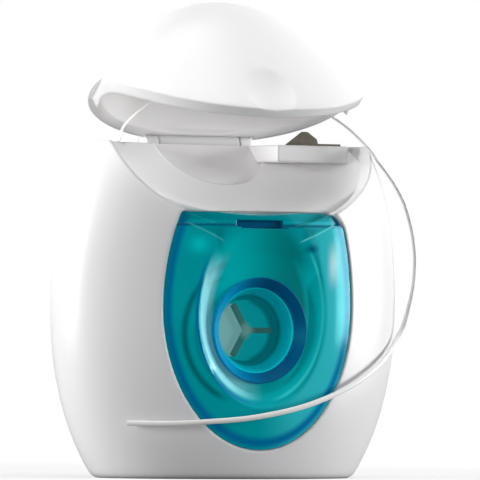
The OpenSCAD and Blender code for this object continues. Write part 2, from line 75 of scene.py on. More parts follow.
# shader maths
class Wire:
    # wraps one socket of a material, so that shader maths reads as an expression
    def __init__(self, tree, socket=None):
        self.tree = tree
        self.socket = socket

    def node(self, kind, settings={}, inputs={}, out=0):
        made = self.tree.nodes.new("ShaderNode" + kind)
        for setting, value in settings.items():
            if setting == "stops":
                while len(made.color_ramp.elements) < len(value):
                    made.color_ramp.elements.new(1)
                for element, (place, shade) in zip(made.color_ramp.elements, value):
                    element.position = place
                    element.color = shade
            else:
                setattr(made, setting, value)
        for name, value in inputs.items():
            if isinstance(value, Wire):
                self.tree.links.new(value.socket, made.inputs[name])
            else:
                made.inputs[name].default_value = value
        return Wire(self.tree, made.outputs[out] if made.outputs else None)

    def maths(self, operation, first, second=0.0):
        return self.node("Math", {"operation": operation}, {0: first, 1: second})

    def __add__(self, other):
        return self.maths("ADD", self, other)

    __radd__ = __add__

    def __sub__(self, other):
        return self.maths("SUBTRACT", self, other)

    def __rsub__(self, other):
        return self.maths("SUBTRACT", other, self)

    def __mul__(self, other):
        return self.maths("MULTIPLY", self, other)

    __rmul__ = __mul__


def blank(name):
    material = bpy.data.materials.new(name)
    material.use_nodes = True
    material.node_tree.nodes.clear()
    return material, Wire(material.node_tree)


def noise(wire, size, detail=3.0, out=0, stretch=(1, 1, 1)):
    # size is the width of the pattern's features in mm
    place = wire.node("TexCoord", out=3)
    place = wire.node("Mapping", inputs={"Vector": place, "Scale": stretch})
    settings = {"Vector": place, "Scale": 1 / (size * mm), "Detail": detail}
    return wire.node("TexNoise", inputs=settings, out=out)


def mix(wire, share, first, second):
    return wire.node("Mix", {"data_type": "RGBA"}, {0: share, 6: first, 7: second}, out=2)


def paint(wire, colour, *coats):
    # each coat is its share, from 0 to 1, and the colour that it lays on
    for share, shade in coats:
        colour = mix(wire, share, colour, shade)
    return colour


def finish(material, wire, **sockets):
    # names of sockets are written without their spaces
    surface = wire.node("BsdfPrincipled")
    shader = surface.socket.node
    spaced = {socket.name.replace(" ", ""): socket for socket in shader.inputs}
    for name, value in sockets.items():
        if isinstance(value, Wire):
            wire.tree.links.new(value.socket, spaced[name])
        else:
            spaced[name].default_value = value
    wire.node("OutputMaterial", inputs={"Surface": surface})
    return material


def step(wire, value, low, high):
    # rises smoothly from 0 at low to 1 at high
    return wire.node("MapRange", {"interpolation_type": "SMOOTHSTEP"},
                     {"Value": value, "From Min": low, "From Max": high})


def band(wire, value, middle, reach):
    # 1 at the middle, 0 beyond its reach
    return step(wire, value, middle - reach, middle) * step(wire, value, middle + reach, middle)


def places(wire):
    # the place on the object in mm, across and up
    spot = wire.node("TexCoord", out=3)
    return (wire.node("SeparateXYZ", inputs={"Vector": spot}, out=0) * (1 / mm),
            wire.node("SeparateXYZ", inputs={"Vector": spot}, out=2) * (1 / mm))


def ovalAt(wire, x, z, wide, middle, below, above):
    # 1 on the oval, less inside it
    higher, lower = (wire.maths("MAXIMUM", way, 0) for way in (z - middle, middle - z))
    up = higher * (1 / above) + lower * (1 / below)
    across = x * (1 / wide)
    return wire.maths("SQRT", across * across + up * up)


def rounded(wire, radius, height=None, strength=1.0, distance=0.02):
    # softens edges by radius in mm, and lays a fine relief of distance in mm over them
    soft = wire.node("Bevel", {"samples": 6}, {"Radius": radius * mm})
    if height is None:
        return soft
    return wire.node("Bump", inputs={"Strength": strength, "Distance": distance * mm, "Height": height,
                                     "Normal": soft})


def whitePlastic(name, shade, gloss, radius, through=0.15):
    # through is the share of light that goes on inside the plastic
    material, wire = blank(name)
    clouds = noise(wire, 9, 4)
    grain = noise(wire, 0.22, 2)
    colour = mix(wire, clouds, (*[c * 0.985 for c in shade], 1), (*shade, 1))
    handled = noise(wire, 3.5, 5)
    # painted glow: points inside the plastic give off a warm white by their depth, standing in for light
    # through it
    depth = wire.node("Attribute", {"attribute_name": "depth"}, out=2)
    return finish(material, wire, BaseColor=colour, Roughness=gloss - 0.04 + 0.08 * handled + 0.02 * grain,
                  IOR=1.48, Normal=rounded(wire, radius, grain, 0.35, 0.004),
                  EmissionColor=mix(wire, depth, (0, 0, 0, 1), (1, 0.965, 0.95, 1)), EmissionStrength=0.15,
                  SubsurfaceWeight=through, SubsurfaceScale=3 * mm, SubsurfaceRadius=(1.0, 0.93, 0.9))


# colours of the teal insert and of its painted highlights and painted shade
teal = {"plain": (0, 0.46, 0.52, 1), "deep": (0, 0.42, 0.47, 1), "pale": (0.34, 0.92, 1, 1),
        "bright": (0, 0.66, 0.70, 1), "shade": (0, 0.25, 0.26, 1), "blue": (0, 0.20, 0.46, 1),
        "navy": (0, 0.085, 0.22, 1), "rimDark": (0, 0.10, 0.12, 1), "rimSoft": (0, 0.16, 0.19, 1),
        "margin": (0.05, 0.66, 0.74, 1), "dishEdge": (0.04, 0.78, 0.80, 1), "patch": (0, 0.72, 0.76, 1),
        "glint": (0.6, 0.95, 1, 1), "corner": (0, 0.25, 0.29, 1), "crease": (0.15, 0.82, 0.85, 1),
        "slot": (0, 0.11, 0.27, 1), "ledge": (0, 0.26, 0.30, 1), "tube": (0, 0.33, 0.38, 1),
        "coneLeft": (0, 0.26, 0.50, 1), "coneRim": (0, 0.7, 0.78, 1), "tubeDark": (0, 0.13, 0.15, 1),
        "tubeBlue": (0, 0.40, 0.56, 1)}
# places of the marks, many of them painted highlights and painted shade, in mm; an oval is half its width,
# its middle, and its reach below and above
mark = {"axis": 18.2, "dish": (8.7, 20.07, 10.67, 12.6), "outline": (13.2, 21, 17.5, 21.5),
        "spoolLeft": 1.7, "spoolHeight": 18, "spoolEdge": 8.8, "spoolInner": 7.4, "slotHalf": 3.25,
        "slotHeight": 31.15, "creaseSlope": 0.44, "creaseHeight": 26.7, "glint": (10.2, 26.3),
        "patch": (-8.8, 28.6), "navy": (6.9, 28.2), "coneInner": 5.15, "tubeInner": 4.2}


def tealGlow(wire, material, colour, radius, glow, gloss):
    # tinted clear plastic with a painted glow: it gives off a little of its own colour, standing in for the
    # light it gathers
    grain = noise(wire, 0.3, 2)
    return finish(material, wire, BaseColor=colour, Roughness=gloss + 0.05 * noise(wire, 5, 3), IOR=1.5,
                  SpecularIORLevel=0.3, SpecularTint=(0.02, 0.5, 0.55, 1), TransmissionWeight=0.2,
                  EmissionColor=colour, EmissionStrength=glow,
                  Normal=rounded(wire, radius, grain, 0.2, 0.003))


def spotAt(wire, x, z, middle, wide, tall):
    return band(wire, x, middle[0], wide) * band(wire, z, middle[1], tall)


def tealPlastic(name, radius):
    material, wire = blank(name)
    x, z = places(wire)
    side = wire.maths("ABSOLUTE", x)
    dishRim = ovalAt(wire, x, z, *mark["dish"])
    outline = ovalAt(wire, x, z, *mark["outline"])
    spoolRim = ovalAt(wire, x + mark["spoolLeft"], z, 1, mark["spoolHeight"], 1, 1)
    left, right, farLeft = step(wire, x, 1, -5), step(wire, x, -1, 6), step(wire, x, -4, -7)
    # painted shade across the dish: lighter on the left, darker on the right
    floor = mix(wire, step(wire, x, -6, 5), teal["bright"], teal["shade"])
    wall = step(wire, dishRim, 0.70, 0.82) * step(wire, dishRim, 1.0, 0.95) * step(wire, z, 28, 24)
    # creases run from the ledge's ends down to the dish, with painted shade above them and a painted
    # highlight along them that shows more on the right
    crease = z - mark["creaseSlope"] * side
    run = step(wire, side, 5, 6) * step(wire, side, 10.6, 9.8)
    high = mark["creaseHeight"]
    above = step(wire, crease, high - 0.3, high + 0.5) * step(wire, z, 31, 30.5)
    clear = mix(wire, right, (0.35, 0.35, 0.35, 1), (1, 1, 1, 1))
    fromSlot = wire.maths("ABSOLUTE", z - mark["slotHeight"])
    slot = step(wire, side, mark["slotHalf"] + 0.1, mark["slotHalf"] - 0.1) * step(wire, fromSlot, 0.6, 0.45)
    colour = paint(
        wire, mix(wire, noise(wire, 5, 2), teal["plain"], teal["deep"]),
        (step(wire, dishRim, 1.0, 0.8), floor),
        # painted shade: dark arcs where the spool's rim shows through the plastic
        (band(wire, spoolRim, mark["spoolEdge"], 0.7) * farLeft * 0.75, teal["rimDark"]),
        (band(wire, spoolRim, mark["spoolInner"], 0.35) * farLeft * 0.4, teal["rimSoft"]),
        # painted highlights on the dish's walls, paler on the left wall
        (wall * left, teal["pale"]),
        (wall * right * 0.8, teal["bright"]),
        # painted light: a lit band to the right of the dish
        (step(wire, dishRim, 1.02, 1.1) * right * 0.7, teal["margin"]),
        # painted shade: a dark blue line along the dish's left edge
        (band(wire, dishRim, 1.03, 0.045) * left * step(wire, z, 29, 24), teal["blue"]),
        (band(wire, outline, 0.945, 0.06), teal["blue"]),
        (band(wire, z, 31.0, 0.35) * 0.8, teal["navy"]),
        # painted highlight along the dish's right edge
        (band(wire, dishRim, 0.99, 0.035) * step(wire, x, 1, 4) * step(wire, z, 29, 26), teal["dishEdge"]),
        # painted light: a lit spot at the upper left of the dish
        (spotAt(wire, x, z, mark["patch"], 2, 1.7), teal["patch"]),
        (spotAt(wire, x, z, mark["glint"], 1.3, 3.6), teal["glint"]),
        # painted shade above the creases, then a painted highlight along them
        (above * run * 0.55, teal["corner"]),
        (band(wire, crease, high, 0.22) * run * clear, teal["crease"]),
        # painted shade: a navy spot at the upper right of the dish
        (spotAt(wire, x, z, mark["navy"], 1.2, 0.8) * 0.8, teal["navy"]),
        # painted shade inside the slot
        (slot, teal["slot"]),
        (step(wire, z, 31.5, 31.7) * 0.5, teal["ledge"]))
    return tealGlow(wire, material, colour, radius, 0.06, 0.07)


def hubPlastic(name, radius):
    material, wire = blank(name)
    x, z = places(wire)
    reach = ovalAt(wire, x, z, 1, mark["axis"], 1, 1)
    # painted light and shade on the ring: lighter blue on the left, navy on the right
    cone = mix(wire, step(wire, x, -6, 2), teal["coneLeft"], teal["navy"])
    colour = paint(
        # painted shade: the tube darker on the left than on the right
        wire, mix(wire, step(wire, x, -4, 5), teal["tube"], teal["plain"]),
        (step(wire, reach, mark["coneInner"] - 0.05, mark["coneInner"] + 0.1), cone),
        # painted highlight on the ring's inner edge
        (band(wire, reach, mark["coneInner"], 0.12), teal["coneRim"]),
        # painted shade: a dark band at the edge of the tube's bore
        (band(wire, reach, mark["tubeInner"], 0.3) * 0.8, teal["tubeDark"]),
        (band(wire, reach, mark["tubeInner"] + 0.55, 0.25) * 0.5, teal["tubeBlue"]))
    return tealGlow(wire, material, colour, radius, 0.2, 0.4)


def postPlastic(name):
    # the post as it looks through the hub, with painted shade on its ribs, which are darker than the disc
    # behind them, and a painted glow
    material, wire = blank(name)
    x, z = places(wire)
    ahead = wire.node("SeparateXYZ", inputs={"Vector": wire.node("TexCoord", out=3)}, out=1) * (1 / mm)
    reach = ovalAt(wire, x, z, 1, mark["axis"], 1, 1)
    # negative between the two ribs on the left, which stand at 120 degrees to the third
    fromRibs = x + 0.577 * wire.maths("ABSOLUTE", z - mark["axis"])
    # painted shade: the ribs are dark
    ribs = mix(wire, noise(wire, 0.8), (0.03, 0.13, 0.12, 1), (0.04, 0.17, 0.16, 1))
    # painted light: the disc's left sector, between the two left ribs, lighter than the rest
    disc = mix(wire, step(wire, fromRibs, 0.15, -0.15), (0.0, 0.36, 0.40, 1), (0.22, 0.46, 0.45, 1))
    colour = paint(
        wire, ribs, (step(wire, ahead, -5.5, -5.2), disc),
        (step(wire, reach, 1.4, 0.3) * 0.6, (0.20, 0.40, 0.37, 1)),
        # painted shade: a dark crescent round the right of the post
        (step(wire, reach, 3.1, 3.7) * step(wire, x, 0, 1.5) * 0.7, (0, 0.14, 0.15, 1)))
    # painted glow: the post gives off its own colour
    return finish(material, wire, BaseColor=colour, Roughness=0.4 + 0.1 * noise(wire, 2), IOR=1.48,
                  EmissionColor=colour, EmissionStrength=0.45, SpecularIORLevel=0.2,
                  Normal=rounded(wire, 0.15, noise(wire, 0.3, 2), 0.2, 0.003))


def flossFibre(name):
    material, wire = blank(name)
    fibres = noise(wire, 0.12, 3)
    colour = mix(wire, fibres, (0.80, 0.80, 0.78, 1), (0.93, 0.93, 0.91, 1))
    return finish(material, wire, BaseColor=colour, Roughness=0.38 + 0.2 * fibres, SheenWeight=0.3,
                  Normal=wire.node("Bump", inputs={"Strength": 0.5, "Distance": 0.03 * mm, "Height": fibres}))


def bladeSteel(name):
    material, wire = blank(name)
    brushed = noise(wire, 0.25, 4, stretch=(0.15, 1, 1))
    stain = noise(wire, 1.5, 3)
    colour = mix(wire, stain, (0.085, 0.075, 0.06, 1), (0.13, 0.12, 0.10, 1))
    return finish(material, wire, BaseColor=colour, Metallic=0.7, Roughness=0.38 + 0.2 * brushed,
                  Normal=rounded(wire, 0.05, brushed, 0.5, 0.006))


bodyWhite = whitePlastic("bodyWhite", (0.86, 0.855, 0.865), 0.34, 0.6)
lidWhite = whitePlastic("lidWhite", (0.89, 0.88, 0.88), 0.30, 0.45, 0.6)
postSeen = postPlastic("postSeen")
spoolGreen = whitePlastic("spoolGreen", (0.45, 0.62, 0.58), 0.4, 0.15)
tealInsert = tealPlastic("tealInsert", 0.3)
tealHub = hubPlastic("tealHub", 0.1)
flossWhite = flossFibre("flossWhite")
steelDark = bladeSteel("steelDark")
print("materials made")

# the barrel's curves, in mm
barrel = {"halfWidth": 23.5, "halfDepth": 10.4, "belly": 21, "above": 31, "baseHalf": 17.5, "sideCurve": 2.15,
          "faceCurve": 2.8, "lean": 1.4, "leanHeight": 20, "deck": 41.1, "wall": 1.3, "deckThick": 1.5,
          "floorThick": 1.4, "baseRound": 0.7}
baseShare = (barrel["baseHalf"] / barrel["halfWidth"]) ** barrel["sideCurve"]
barrel["below"] = barrel["belly"] / (1 - baseShare) ** (1 / barrel["sideCurve"])


def leanAt(z):
    return -barrel["lean"] * ((z - barrel["belly"]) / barrel["leanHeight"]) ** 2 if z > barrel["belly"] else 0


def arch(share, curve):
    return max(0, 1 - share ** curve) ** (1 / curve)


def sectionAt(z, inset=0, trim=0):
    # half the width, half the depth, middle and height of the level ellipse at z
    share = abs(z - barrel["belly"]) / ((barrel["above"] if z > barrel["belly"] else barrel["below"]) - inset)
    return ((barrel["halfWidth"] - inset) * arch(share, barrel["sideCurve"]) - trim,
            (barrel["halfDepth"] - inset) * arch(share, barrel["faceCurve"]) - trim, leanAt(z), z)


def frontAt(x, z, inset=0):
    wide, deep, middle, high = sectionAt(z, inset)
    return middle - deep * arch(min(1, abs(x) / wide), 2)


def backAt(x, z, inset=0):
    wide, deep, middle, high = sectionAt(z, inset)
    return middle + deep * arch(min(1, abs(x) / wide), 2)


# modelling helpers
def deselect():
    if bpy.context.mode != "OBJECT":
        bpy.ops.object.mode_set(mode="OBJECT")
    bpy.ops.object.select_all(action="DESELECT")


def closeEdit():
    bpy.ops.mesh.select_all(action="SELECT")
    bpy.ops.mesh.normals_make_consistent(inside=False)
    bpy.ops.object.mode_set(mode="OBJECT")
    return bpy.context.object


def stackSections(name, sections, around=192):
    # a disc drawn up through level ellipses
    deselect()
    wide, deep, middle, high = sections[0]
    bpy.ops.mesh.primitive_circle_add(vertices=around, radius=mm, fill_type="NGON",
                                      location=(0, middle * mm, high * mm), scale=(wide, deep, 1))
    bpy.context.object.name = name
    bpy.context.object.scale = (wide, deep, 1)
    bpy.ops.object.transform_apply(location=True, rotation=True, scale=True)
    bpy.ops.object.mode_set(mode="EDIT")
    bpy.ops.mesh.select_all(action="SELECT")
    for lower, upper in zip(sections, sections[1:]):
        shift = (0, (upper[2] - lower[2]) * mm, (upper[3] - lower[3]) * mm)
        bpy.ops.mesh.extrude_region_move(TRANSFORM_OT_translate={"value": shift})
        bpy.ops.transform.resize(value=(upper[0] / lower[0], upper[1] / lower[1], 1),
                                 center_override=(0, upper[2] * mm, upper[3] * mm))
    return closeEdit()


def drawPrism(name, outline, near, far):
    # an outline in X and Z, drawn out along Y
    deselect()
    bpy.ops.mesh.primitive_circle_add(vertices=len(outline), radius=mm, fill_type="NGON")
    piece = bpy.context.object
    piece.name = name
    for vertex, (x, z) in zip(piece.data.vertices, outline):
        vertex.co = (x * mm, near * mm, z * mm)
    bpy.ops.object.mode_set(mode="EDIT")
    bpy.ops.mesh.select_all(action="SELECT")
    bpy.ops.mesh.extrude_region_move(TRANSFORM_OT_translate={"value": (0, (far - near) * mm, 0)})
    return closeEdit()


def block(name, low, high):
    deselect()
    middle = [(a + b) / 2 * mm for a, b in zip(low, high)]
    bpy.ops.mesh.primitive_cube_add(size=mm, location=middle)
    piece = bpy.context.object
    piece.name = name
    piece.scale = [b - a for a, b in zip(low, high)]
    bpy.ops.object.transform_apply(location=True, rotation=True, scale=True)
    return piece


def rod(name, radius, start, end, around=64):
    # a round bar between two points
    deselect()
    start, end = Vector(start) * mm, Vector(end) * mm
    turn = (end - start).to_track_quat("Z", "Y").to_euler()
    bpy.ops.mesh.primitive_cylinder_add(vertices=around, radius=radius * mm, depth=(end - start).length,
                                        location=(start + end) / 2, rotation=turn)
    bpy.context.object.name = name
    bpy.ops.object.transform_apply(location=True, rotation=True, scale=True)
    return bpy.context.object


def turnProfile(name, profile, steps=128):
    # a closed profile of radius and distance ahead, spun round the spool's axis
    deselect()
    bpy.ops.mesh.primitive_circle_add(vertices=len(profile), radius=mm, fill_type="NOTHING")
    piece = bpy.context.object
    piece.name = name
    for vertex, (radius, ahead) in zip(piece.data.vertices, profile):
        vertex.co = (radius * mm, -ahead * mm, spool["axis"] * mm)
    bpy.ops.object.mode_set(mode="EDIT")
    bpy.ops.mesh.select_all(action="SELECT")
    bpy.ops.mesh.spin(steps=steps, angle=math.tau, center=(0, 0, spool["axis"] * mm), axis=(0, 1, 0))
    bpy.ops.mesh.select_all(action="SELECT")
    bpy.ops.mesh.remove_doubles(threshold=1e-7)
    return closeEdit()


def combine(piece, tool, how="DIFFERENCE"):
    deselect()
    cutting = piece.modifiers.new(how.lower(), "BOOLEAN")
    cutting.operation = how
    cutting.solver = "MANIFOLD"
    cutting.object = tool
    bpy.context.view_layer.objects.active = piece
    bpy.ops.object.modifier_apply(modifier=cutting.name)
    bpy.data.objects.remove(tool)
    return piece


def bevelEdges(piece, width, segments=3, angle=30):
    deselect()
    edge = piece.modifiers.new("edge", "BEVEL")
    edge.width = width * mm
    edge.segments = segments
    edge.limit_method = "ANGLE"
    edge.angle_limit = math.radians(angle)
    bpy.context.view_layer.objects.active = piece
    bpy.ops.object.modifier_apply(modifier=edge.name)
    return piece


def ramp(value, low, high):
    return min(1, max(0, (value - low) / (high - low)))


def markPaintedGlow(piece, lift=0.0, endLift=0.0):
    # painted glow: how much each point gives off, standing in for light that reaches the skin from inside the
    # plastic; none outside, and more towards the left end
    held = piece.data.attributes.new("depth", "FLOAT", "POINT")
    for vertex, value in zip(piece.data.vertices, held.data):
        x, y, z = (c / mm for c in vertex.co)
        wide, deep, middle, high = sectionAt(z)
        under = (1 - math.hypot(x / max(wide, 0.5), (y - middle) / max(deep, 0.5))) * max(deep, 0.5)
        value.value = ramp(under, 0.3, 1.5) * (lift + endLift * ramp(-x, 9, 15))


def dress(piece, material, body, slot, *nodes, smooth=32):
    deselect()
    piece.select_set(True)
    bpy.context.view_layer.objects.active = piece
    bpy.ops.object.shade_smooth_by_angle(angle=math.radians(smooth))
    piece.data.materials.clear()
    piece.data.materials.append(material)
    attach(piece, body)
    if nodes:
        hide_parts(*nodes)
    return piece


# floss
spool = {"axis": 18.2, "front": 6.4, "length": 13.6, "flangeRadius": 9.4, "flange": 0.8, "core": 6.4,
         "bore": 5.29, "tube": 5.2, "tubeBore": 4.1, "wound": 7.85, "loops": 9, "pitch": 1.2,
         "edge": 0.2, "touch": 0.03, "loopLift": 0.42}
spool["back"] = spool["front"] - spool["length"]
floss = {"width": 0.64, "thick": 0.26, "steps": 8, "sides": 12, "loop": 0.7}
feedRoute = [(-9.2, 1, 19), (-9.6, 1, 24), (-10.8, 1.4, 29), (-12.6, 1.9, 34), (-13.8, 2.2, 38),
             (-13.8, 2.2, 41.2)]
strandRoute = [(-13.8, 2.2, 41.2), (-13.2, 1.8, 43.2), (-11.3, 0.5, 45.3), (-9.1, -1, 46.9), (-4.4, -2.6, 48),
               (3.1, -3.4, 48.2), (7.4, -3.8, 47.2), (10.7, -4, 45.7), (14.4, -4.5, 43.5), (17.2, -5, 41),
               (18.8, -5.1, 39.1)]
tailRoute = [(18.8, -5.1, 39.1), (21.5, -4.5, 36.3), (23.4, -4.1, 33.3), (24.6, -4, 28.9), (24.6, -4, 24.4),
             (23.5, -4, 19.9), (21.9, -4.8, 17.4), (18.1, -7.4, 14.3), (13, -9.4, 11.6), (5.9, -10.7, 9.1),
             (-1.6, -10.9, 7.6), (-8.3, -10.1, 7), (-12.4, -9, 6.8), (-17.1, -6.9, 6.8)]


def smoothRoute(route, steps):
    # points of a smooth curve through the route's points
    points = []
    for k in range(len(route) - 1):
        a, b, c, d = (Vector(route[i]) for i in (max(0, k - 1), k, k + 1, min(len(route) - 1, k + 2)))
        for i in range(steps):
            t = i / steps
            points.append(0.5 * (2 * b + (c - a) * t + (2 * a - 5 * b + 4 * c - d) * t * t
                                 + (3 * b - 3 * c + d - a) * t ** 3))
    return [p * mm for p in points + [Vector(route[-1])]]


def routeLength(points):
    return sum((b - a).length for a, b in zip(points, points[1:]))


def tape(name, points, width, thick, sides, twist):
    # a flat tape along points, turned about its run by twist, a function of the share of its length
    corners = []
    for i, point in enumerate(points):
        run = (points[min(len(points) - 1, i + 1)] - points[max(0, i - 1)]).normalized()
        side = run.cross(Vector((0, 1, 0))).normalized()
        up = run.cross(side)
        angle = twist(i / (len(points) - 1))
        across = math.cos(angle) * side + math.sin(angle) * up
        through = math.cos(angle) * up - math.sin(angle) * side
        for k in range(sides):
            t = math.tau * k / sides
            corners.append(point + across * math.cos(t) * width / 2 * mm
                           + through * math.sin(t) * thick / 2 * mm)
    count = len(points)
    faces = [(k * sides + i, k * sides + (i + 1) % sides,
              (k + 1) * sides + (i + 1) % sides, (k + 1) * sides + i)
             for k in range(count - 1) for i in range(sides)]
    faces += [tuple(reversed(range(sides))), tuple((count - 1) * sides + i for i in range(sides))]
    mesh = bpy.data.meshes.new(name)
    mesh.from_pydata(corners, [], faces)
    piece = bpy.data.objects.new(name, mesh)
    bpy.context.scene.collection.objects.link(piece)
    deselect()
    piece.select_set(True)
    bpy.context.view_layer.objects.active = piece
    bpy.ops.object.mode_set(mode="EDIT")
    return closeEdit()


def ease(share, start, end):
    t = ramp(share, start, end)
    return t * t * (3 - 2 * t)


def layFloss():
    edgeOn = math.radians(90)
    feed = smoothRoute(feedRoute, floss["steps"])
    piece = tape("feedFloss", feed, floss["width"], floss["thick"], floss["sides"], lambda s: 0)
    dress(piece, flossWhite, "case", "floss", "floss_feed", smooth=60)
    strand = smoothRoute(strandRoute, floss["steps"])
    piece = tape("strandFloss", strand, floss["width"], floss["thick"], floss["sides"], lambda s: edgeOn)
    dress(piece, flossWhite, "case", "floss", "floss_strand", smooth=60)
    routeLength(strand)
    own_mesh(piece)
    tail = smoothRoute(tailRoute, floss["steps"])
    piece = tape("tailFloss", tail, floss["width"], floss["thick"], floss["sides"],
                 lambda s: edgeOn * (1 - ease(s, 0.3, 0.55)))
    dress(piece, flossWhite, "case", "floss", "floss_tail", smooth=60)
    routeLength(tail)


layFloss()
print("floss laid")


# barrel with its scoop
scoop = {"lipHalf": 18, "lipDrop": 11.2, "lipRise": 0.7, "seat": 1.7, "bowlRadius": 27, "bowlFront": 16.74,
         "bowlHeight": 58.05, "turn": 30, "pocketHalf": 7.7, "pocketLeft": 0.6, "pocketLow": 36.4,
         "pocketDepth": 1, "pocketFront": 1.2, "pocketRun": 5.2, "latchRise": 0.55}
scoop["lipTop"] = barrel["deck"] + scoop["lipRise"]
insert = {"half": 13.2, "widest": 21, "low": 3.5, "top": 32.7, "reach": 21.5, "back": 6.9, "inset": 0.15,
          "thick": 1.2, "fit": 0.12, "cornerRight": (2.4, 2.5), "cornerLeft": (0.6, 0.7),
          "cornerPower": 4 / 3, "slotHalf": 3.2, "slotHeight": 0.9, "slotDeep": 0.6, "ledge": 31.15,
          "ledgeDepth": 0.5}
dish = {"depth": 1.1, "half": 8.7, "low": 9.4, "top": 28.8, "slope": 2, "ramp": 4, "share": 0.55,
        "corner": 44}
dish["middle"] = dish["low"] + (dish["top"] - dish["low"]) * dish["share"]
cover = {"half": 15.4, "low": 3, "top": 36, "skin": 0.7, "step": 1.1}
hinge = {"y": 7.9, "z": 41.3, "barrel": 1.2, "half": 5.6, "pin": 0.7, "ear": 1.6, "gap": 0.2, "trough": 1.55,
         "foot": 2.4, "pinEnd": 0.5}
boss = {"left": 6.1, "right": 16, "front": 2.2, "height": 2.1}
outlet = {"x": -14, "y": 2.2, "radius": 0.9}
far = 40


# angles along the lower half of an oval, from its left to its right
lowerHalf = [math.pi + math.pi * i / 64 for i in range(65)]


def lipOutline(grow):
    wide, drop = scoop["lipHalf"] + grow, scoop["lipDrop"] + grow
    curve = [(wide * math.cos(t), scoop["lipTop"] + drop * math.sin(t)) for t in lowerHalf]
    return curve + [(wide, 2 * far), (-wide, 2 * far)]


def insertOutline(grow):
    wide = insert["half"] + grow
    drop = insert["widest"] - insert["low"] + grow
    lower = [(wide * math.cos(t), insert["widest"] + drop * math.sin(t)) for t in lowerHalf]
    return lower + insertSide(insert["cornerRight"], grow) + [
        (-x, z) for x, z in reversed(insertSide(insert["cornerLeft"], grow))]


def insertSide(corner, grow):
    # upper side with its soft corner, given as its run and its drop
    run, drop = corner
    wide = insert["half"] + grow
    high = math.asin((insert["top"] - drop - insert["widest"]) / insert["reach"])
    edge = wide * math.cos(high)
    side = [(wide * math.cos(high * i / 12), insert["widest"] + insert["reach"] * math.sin(high * i / 12))
            for i in range(1, 13)]
    power = insert["cornerPower"]
    return side + [(edge - run * (1 - max(0, math.cos(t)) ** power),
                    insert["top"] - drop + (drop + grow) * math.sin(t) ** power)
                   for t in (math.pi / 2 * i / 10 for i in range(1, 11))]


def coverOutline(grow):
    middle = (cover["low"] + cover["top"]) / 2
    tall = (cover["top"] - cover["low"]) / 2 + grow
    wide = cover["half"] + grow
    return [(math.copysign(wide * abs(math.cos(t)) ** 0.8, math.cos(t)),
             middle + math.copysign(tall * abs(math.sin(t)) ** 0.8, math.sin(t)))
            for t in (math.tau * i / 96 for i in range(96))]


def skinStack(name, low, high, inset, steps=72):
    return stackSections(name, [sectionAt(low + (high - low) * k / steps, inset) for k in range(steps + 1)])


def outerSkin(name):
    edge = [sectionAt(barrel["baseRound"] * (1 - math.sin(t)), 0, barrel["baseRound"] * (1 - math.cos(t)))
            for t in (math.radians(a) for a in range(0, 90, 15))]
    edge = sorted(edge, key=lambda ring: ring[3])
    tall = barrel["deck"] - barrel["baseRound"]
    rest = [sectionAt(barrel["baseRound"] + tall * k / 84) for k in range(1, 85)]
    return stackSections(name, edge + rest)


def bowl(grow):
    # a disc beside the turning axis, spun round it into the hollow curve
    deselect()
    radius = scoop["turn"] - scoop["bowlFront"]
    bpy.ops.mesh.primitive_circle_add(vertices=256, radius=(scoop["bowlRadius"] + grow) * mm,
                                      fill_type="NGON",
                                      location=(radius * mm, -scoop["turn"] * mm, scoop["bowlHeight"] * mm),
                                      rotation=(math.pi / 2, 0, 0))
    bpy.ops.object.transform_apply(location=True, rotation=True, scale=True)
    bpy.ops.object.mode_set(mode="EDIT")
    bpy.ops.mesh.select_all(action="SELECT")
    bpy.ops.mesh.bisect(plane_co=(0, 0, 0), plane_no=(1, 0, 0), clear_inner=True)
    bpy.ops.mesh.select_all(action="SELECT")
    bpy.ops.mesh.delete(type="ONLY_FACE")
    bpy.ops.mesh.select_all(action="SELECT")
    bpy.ops.mesh.spin(steps=256, angle=math.tau, center=(0, -scoop["turn"] * mm, 0), axis=(0, 0, 1))
    bpy.ops.mesh.select_all(action="SELECT")
    bpy.ops.mesh.remove_doubles(threshold=1e-7)
    return closeEdit()


def scoopTool(grow):
    seat = block("seat", (-far, -far, insert["low"]), (far, 0, 2 * far))
    combine(seat, skinStack("seatSkin", insert["low"] - 1, barrel["deck"] + 4, scoop["seat"] + grow))
    combine(seat, bowl(grow), "UNION")
    return combine(seat, drawPrism("lip", lipOutline(grow), -2 * far, 5), "INTERSECT")


def pocketTool(grow):
    rise = barrel["deck"] - scoop["pocketLow"]
    slope = math.atan2(rise, scoop["pocketRun"])
    length = math.hypot(rise, scoop["pocketRun"])
    wide = scoop["pocketHalf"] + grow
    bow = [(wide * math.cos(t), length + (length + grow) * math.sin(t)) for t in lowerHalf]
    piece = drawPrism("pocket", bow + [(wide, 3 * length), (-wide, 3 * length)], 0, far)
    # the outline lies in X and Z, and its prism stands up from the slope
    lay = Matrix.Translation(Vector((-scoop["pocketLeft"], -scoop["pocketFront"], scoop["pocketLow"])) * mm)
    lay = lay @ Matrix.Rotation(slope, 4, "X")
    lay = lay @ Matrix.Translation((0, 0, (-scoop["pocketDepth"] - grow) * mm))
    lay = lay @ Matrix(((1, 0, 0, 0), (0, 0, 1, 0), (0, 1, 0, 0), (0, 0, 0, 1)))
    piece.data.transform(lay)
    piece.data.flip_normals()
    return piece


def hingeRod(name, radius, start, end):
    return rod(name, radius, (start, hinge["y"], hinge["z"]), (end, hinge["y"], hinge["z"]))


